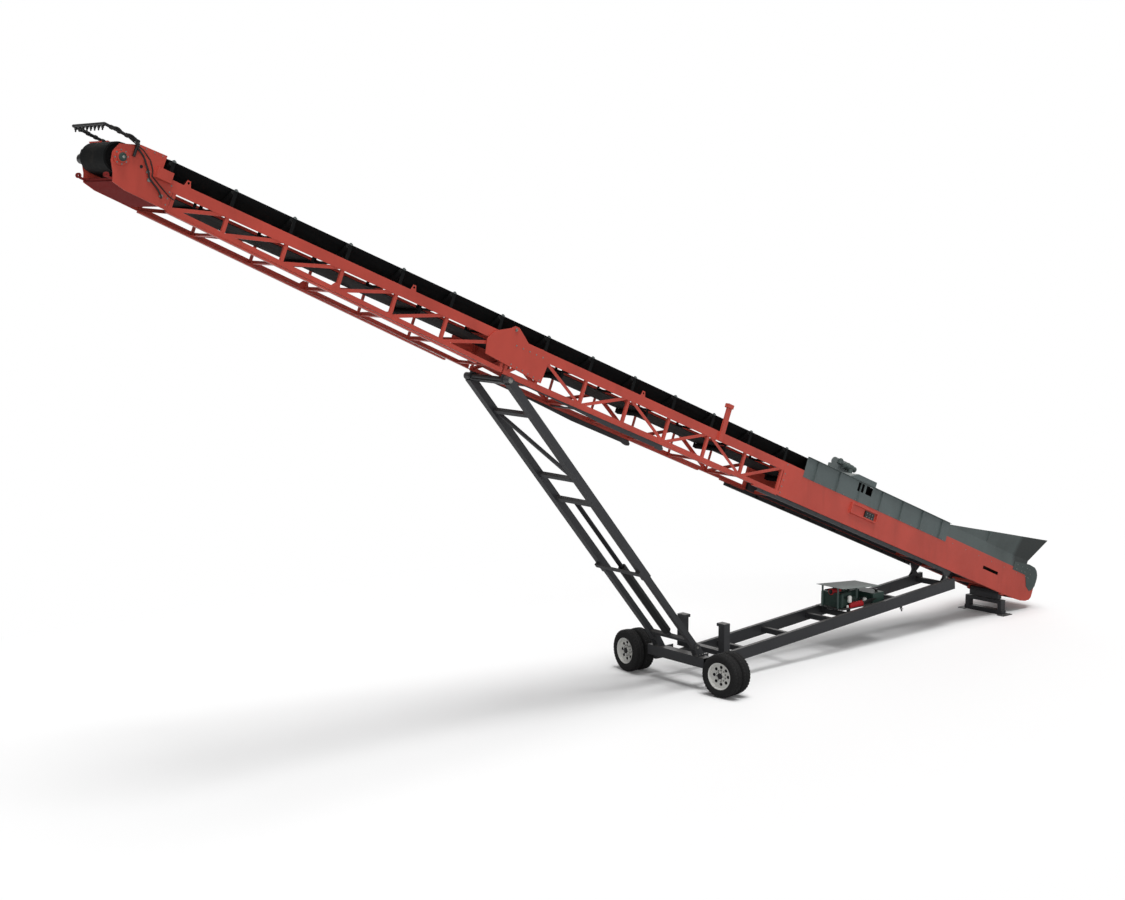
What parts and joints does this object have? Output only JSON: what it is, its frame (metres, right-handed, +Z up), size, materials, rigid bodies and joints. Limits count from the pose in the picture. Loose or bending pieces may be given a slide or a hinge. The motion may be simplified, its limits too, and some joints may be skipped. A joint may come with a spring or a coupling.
{
  "type": "radial stacker conveyor",
  "caption": "Wheeled radial stacking conveyor: a long inclined troughed belt in a folding lattice frame, on telescopic legs, a wheeled axle and a slewing tail stand.",
  "frame": {"origin": "on the ground on the slewing kingpin's axis, under the tail stand", "axes": "+X to the discharge head, +Y to the left side seen from the tail, +Z up"},
  "size_m": [23.2943, 3.5018, 10.4788],
  "materials": {
    "red": "satin",
    "bluegrey": "satin",
    "darkgrey": "satin",
    "midgrey": "satin",
    "black": "gloss",
    "green": "satin",
    "belt": "matt",
    "tyre": "matt",
    "white": "satin",
    "roller": "satin",
    "steel": "machined",
    "hose": "satin"
  },
  "bodies": {
    "undercarriage": {"tongue_frame": "darkgrey", "axle_beam": "darkgrey", "rest_posts": "darkgrey", "leg_base_brackets": "darkgrey", "luff_clevises": "darkgrey", "power_pack_tray": "darkgrey", "engine_block": "green", "fluid_tanks": "green", "power_pack_roof": "midgrey"},
    "tail_stand": {"tail_stand": "darkgrey"},
    "tail_swivel": {"tail_swivel": "darkgrey"},
    "knuckle_left": {"knuckle_left": "darkgrey"},
    "wheel_left": {"tyres_left": "tyre", "rims_left": "white"},
    "knuckle_right": {"knuckle_right": "darkgrey"},
    "wheel_right": {"tyres_right": "tyre", "rims_right": "white"},
    "leg_inner": {"leg_inner": "darkgrey", "ram_barrel": "black"},
    "leg_outer": {"leg_outer": "darkgrey", "ram_rod": "steel"},
    "main_conveyor": {"main_truss_left": "red", "main_truss_right": "red", "main_cross_members": "red", "fold_plates_main": "red", "tail_side_left": "red", "tail_side_right": "red", "tail_cross_members": "red", "tail_pivot_bearings": "red", "rest_cradle": "red", "under_beams": "darkgrey", "luff_lugs": "darkgrey", "skirt_left": "bluegrey", "skirt_right": "bluegrey", "skirt_hood": "bluegrey", "feed_hopper": "bluegrey", "tail_cover": "midgrey", "tail_drum": "roller", "belt_main": "belt", "idlers_main": "roller", "return_rollers_main": "roller", "leg_pivot_beam": "darkgrey", "skirt_motor": "midgrey"},
    "head_section": {"head_truss_left": "red", "head_truss_right": "red", "head_cross_members": "red", "fold_plates_head": "red", "head_side_plates": "red", "head_nose": "red", "head_tray": "red", "head_cover": "red", "head_drum": "roller", "head_motor": "black", "belt_head": "belt", "idlers_head": "roller", "return_rollers_head": "roller", "spray_hoop": "midgrey", "head_hose": "hose"}
  },
  "joints": [
    {"name": "tail_tilt", "type": "hinge", "parent": "main_conveyor", "child": "tail_swivel", "pos_m": [0, 0, 0.5], "axis": [0, 1, 0], "range_deg": [-23.1, 1.6]},
    {"name": "tail_slew", "type": "hinge", "parent": "tail_swivel", "child": "tail_stand", "pos_m": [0, 0, 0.35], "axis": [0, 0, 1], "range_deg": [-135, 135]},
    {"name": "luff", "type": "hinge", "parent": "undercarriage", "child": "main_conveyor", "pos_m": [2.1, 0, 1.15], "axis": [0, 1, 0], "range_deg": [-1.5, 23]},
    {"name": "fold", "type": "hinge", "parent": "main_conveyor", "child": "head_section", "pos_m": [14.35517, 0, 7.15841], "axis": [0, -1, 0], "range_deg": [0, 150]},
    {"name": "leg_swing", "type": "hinge", "parent": "undercarriage", "child": "leg_inner", "pos_m": [9.99, 0, 0.84], "axis": [0, 1, 0], "range_deg": [-3.24, 48.26]},
    {"name": "leg_extend", "type": "slide", "parent": "leg_inner", "child": "leg_outer", "axis": [-0.6436, 0, -0.7653], "range_m": [-0.1011, 1.5218]},
    {"name": "swivel_left", "type": "hinge", "parent": "undercarriage", "child": "knuckle_left", "pos_m": [9.61699, 0.77728, 0.44], "axis": [0, 0, 1], "range_deg": [0, 82]},
    {"name": "swivel_right", "type": "hinge", "parent": "undercarriage", "child": "knuckle_right", "pos_m": [9.61699, -0.77728, 0.44], "axis": [0, 0, -1], "range_deg": [0, 82]},
    {"name": "roll_left", "type": "hinge", "parent": "knuckle_left", "child": "wheel_left", "pos_m": [9.87, 1.305, 0.425], "axis": [0.9914, 0.1311, 0], "continuous": true},
    {"name": "roll_right", "type": "hinge", "parent": "knuckle_right", "child": "wheel_right", "pos_m": [9.87, -1.305, 0.425], "axis": [0.9914, -0.1311, 0], "continuous": true}
  ],
  "couplings": [
    {"joint": "tail_tilt", "follows": "luff", "ratio": -1},
    {"joint": "leg_swing", "follows": "luff", "ratio": 2.0938},
    {"joint": "leg_extend", "follows": "luff", "m_per_rad": 3.7861}
  ]
}
